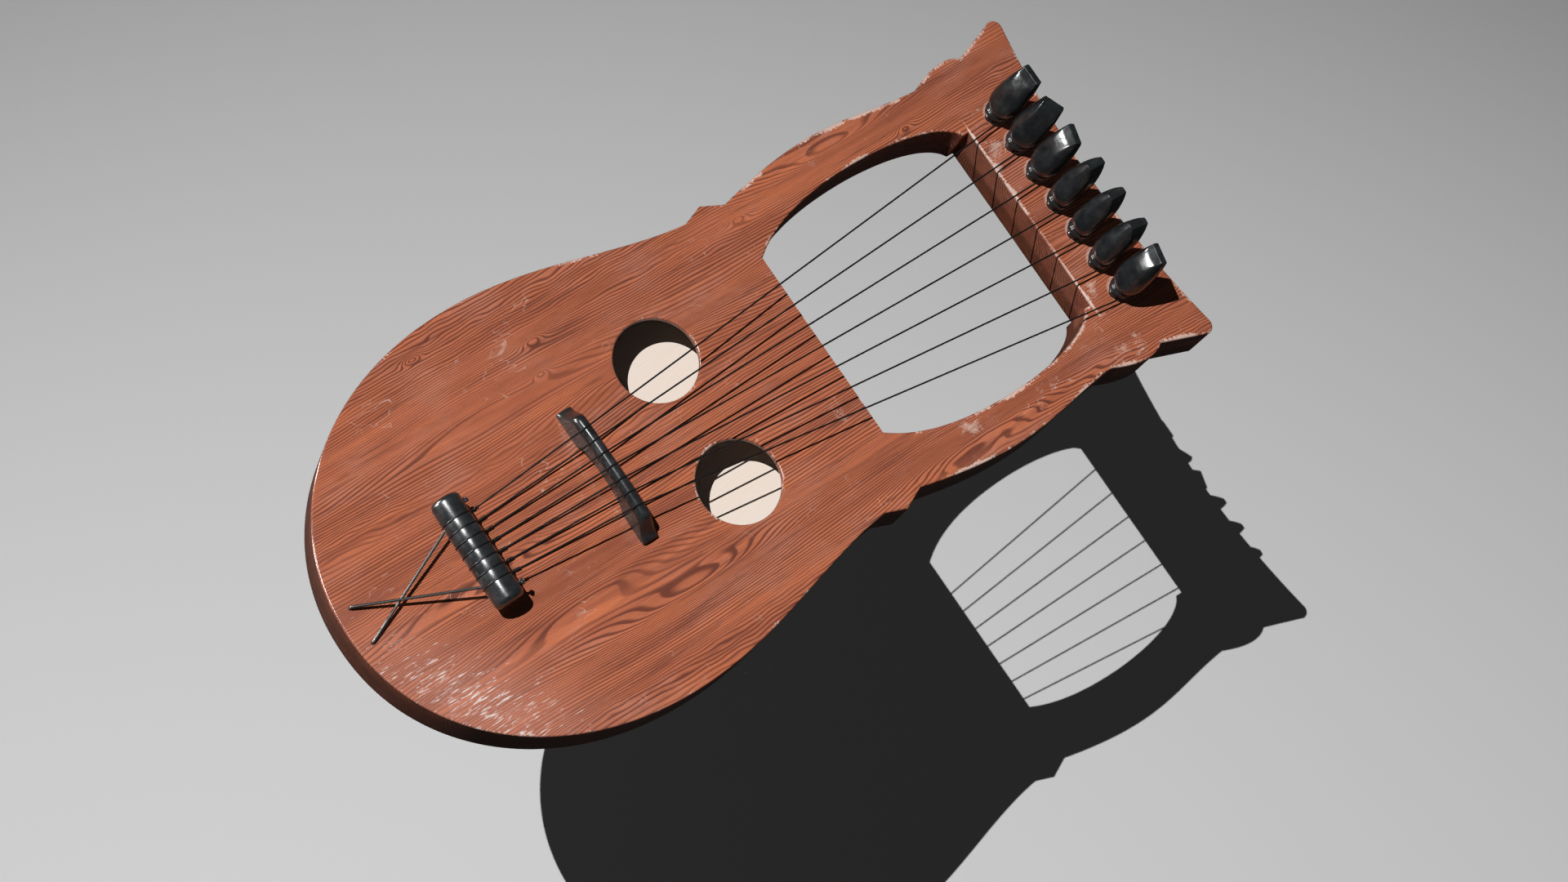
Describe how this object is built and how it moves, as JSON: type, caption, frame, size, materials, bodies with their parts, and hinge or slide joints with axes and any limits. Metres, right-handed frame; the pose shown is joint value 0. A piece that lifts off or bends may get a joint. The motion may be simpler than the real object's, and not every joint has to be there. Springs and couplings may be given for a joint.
{
  "type": "lyre",
  "caption": "Wooden lyre with a carved round sound box, two arms with pointed ears, twin sound holes, leaning tuning pegs, bridge and crossed tail cords.",
  "frame": {"origin": "under the middle of the instrument's bounding box, on the plane of its back", "axes": "+Y along the instrument from its base to the yoke and ears, +Z out of the soundboard, +X to the right seen from the front with the yoke up"},
  "size_m": [0.273, 0.58, 0.0921],
  "materials": {
    "varnished_wood": "reddish-brown oil varnish, worn pale on edges, fine straight grain along the instrument",
    "pale_wood": "bare pale wood",
    "ebony": "polished black",
    "string_steel": "darkened steel wire",
    "tail_cord": "dark glossy tail gut"
  },
  "bodies": {
    "lyre": {"body": "varnished_wood", "soundboard": "varnished_wood", "yoke": "varnished_wood", "yoke_dowels": "pale_wood", "upper_brace": "pale_wood", "bridge_brace": "pale_wood", "bridge": "ebony", "tailpiece": "ebony", "tail_cord_left": "tail_cord", "tail_cord_right": "tail_cord", "cord_knots": "tail_cord", "string_1": "string_steel", "string_2": "string_steel", "string_3": "string_steel", "string_4": "string_steel", "string_5": "string_steel", "string_6": "string_steel", "string_7": "string_steel"},
    "peg_1": {"peg_1": "ebony"},
    "peg_2": {"peg_2": "ebony"},
    "peg_3": {"peg_3": "ebony"},
    "peg_4": {"peg_4": "ebony"},
    "peg_5": {"peg_5": "ebony"},
    "peg_6": {"peg_6": "ebony"},
    "peg_7": {"peg_7": "ebony"}
  },
  "joints": [
    {"name": "peg_1_turn", "type": "hinge", "parent": "lyre", "child": "peg_1", "pos_m": [-0.069, 0.2452, 0.038], "axis": [0, 0.2419, 0.9703], "continuous": true},
    {"name": "peg_2_turn", "type": "hinge", "parent": "lyre", "child": "peg_2", "pos_m": [-0.046, 0.2452, 0.038], "axis": [0, 0.2419, 0.9703], "continuous": true},
    {"name": "peg_3_turn", "type": "hinge", "parent": "lyre", "child": "peg_3", "pos_m": [-0.023, 0.2452, 0.038], "axis": [0, 0.2419, 0.9703], "continuous": true},
    {"name": "peg_4_turn", "type": "hinge", "parent": "lyre", "child": "peg_4", "pos_m": [0, 0.2452, 0.038], "axis": [0, 0.2419, 0.9703], "continuous": true},
    {"name": "peg_5_turn", "type": "hinge", "parent": "lyre", "child": "peg_5", "pos_m": [0.023, 0.2452, 0.038], "axis": [0, 0.2419, 0.9703], "continuous": true},
    {"name": "peg_6_turn", "type": "hinge", "parent": "lyre", "child": "peg_6", "pos_m": [0.046, 0.2452, 0.038], "axis": [0, 0.2419, 0.9703], "continuous": true},
    {"name": "peg_7_turn", "type": "hinge", "parent": "lyre", "child": "peg_7", "pos_m": [0.069, 0.2452, 0.038], "axis": [0, 0.2419, 0.9703], "continuous": true}
  ]
}
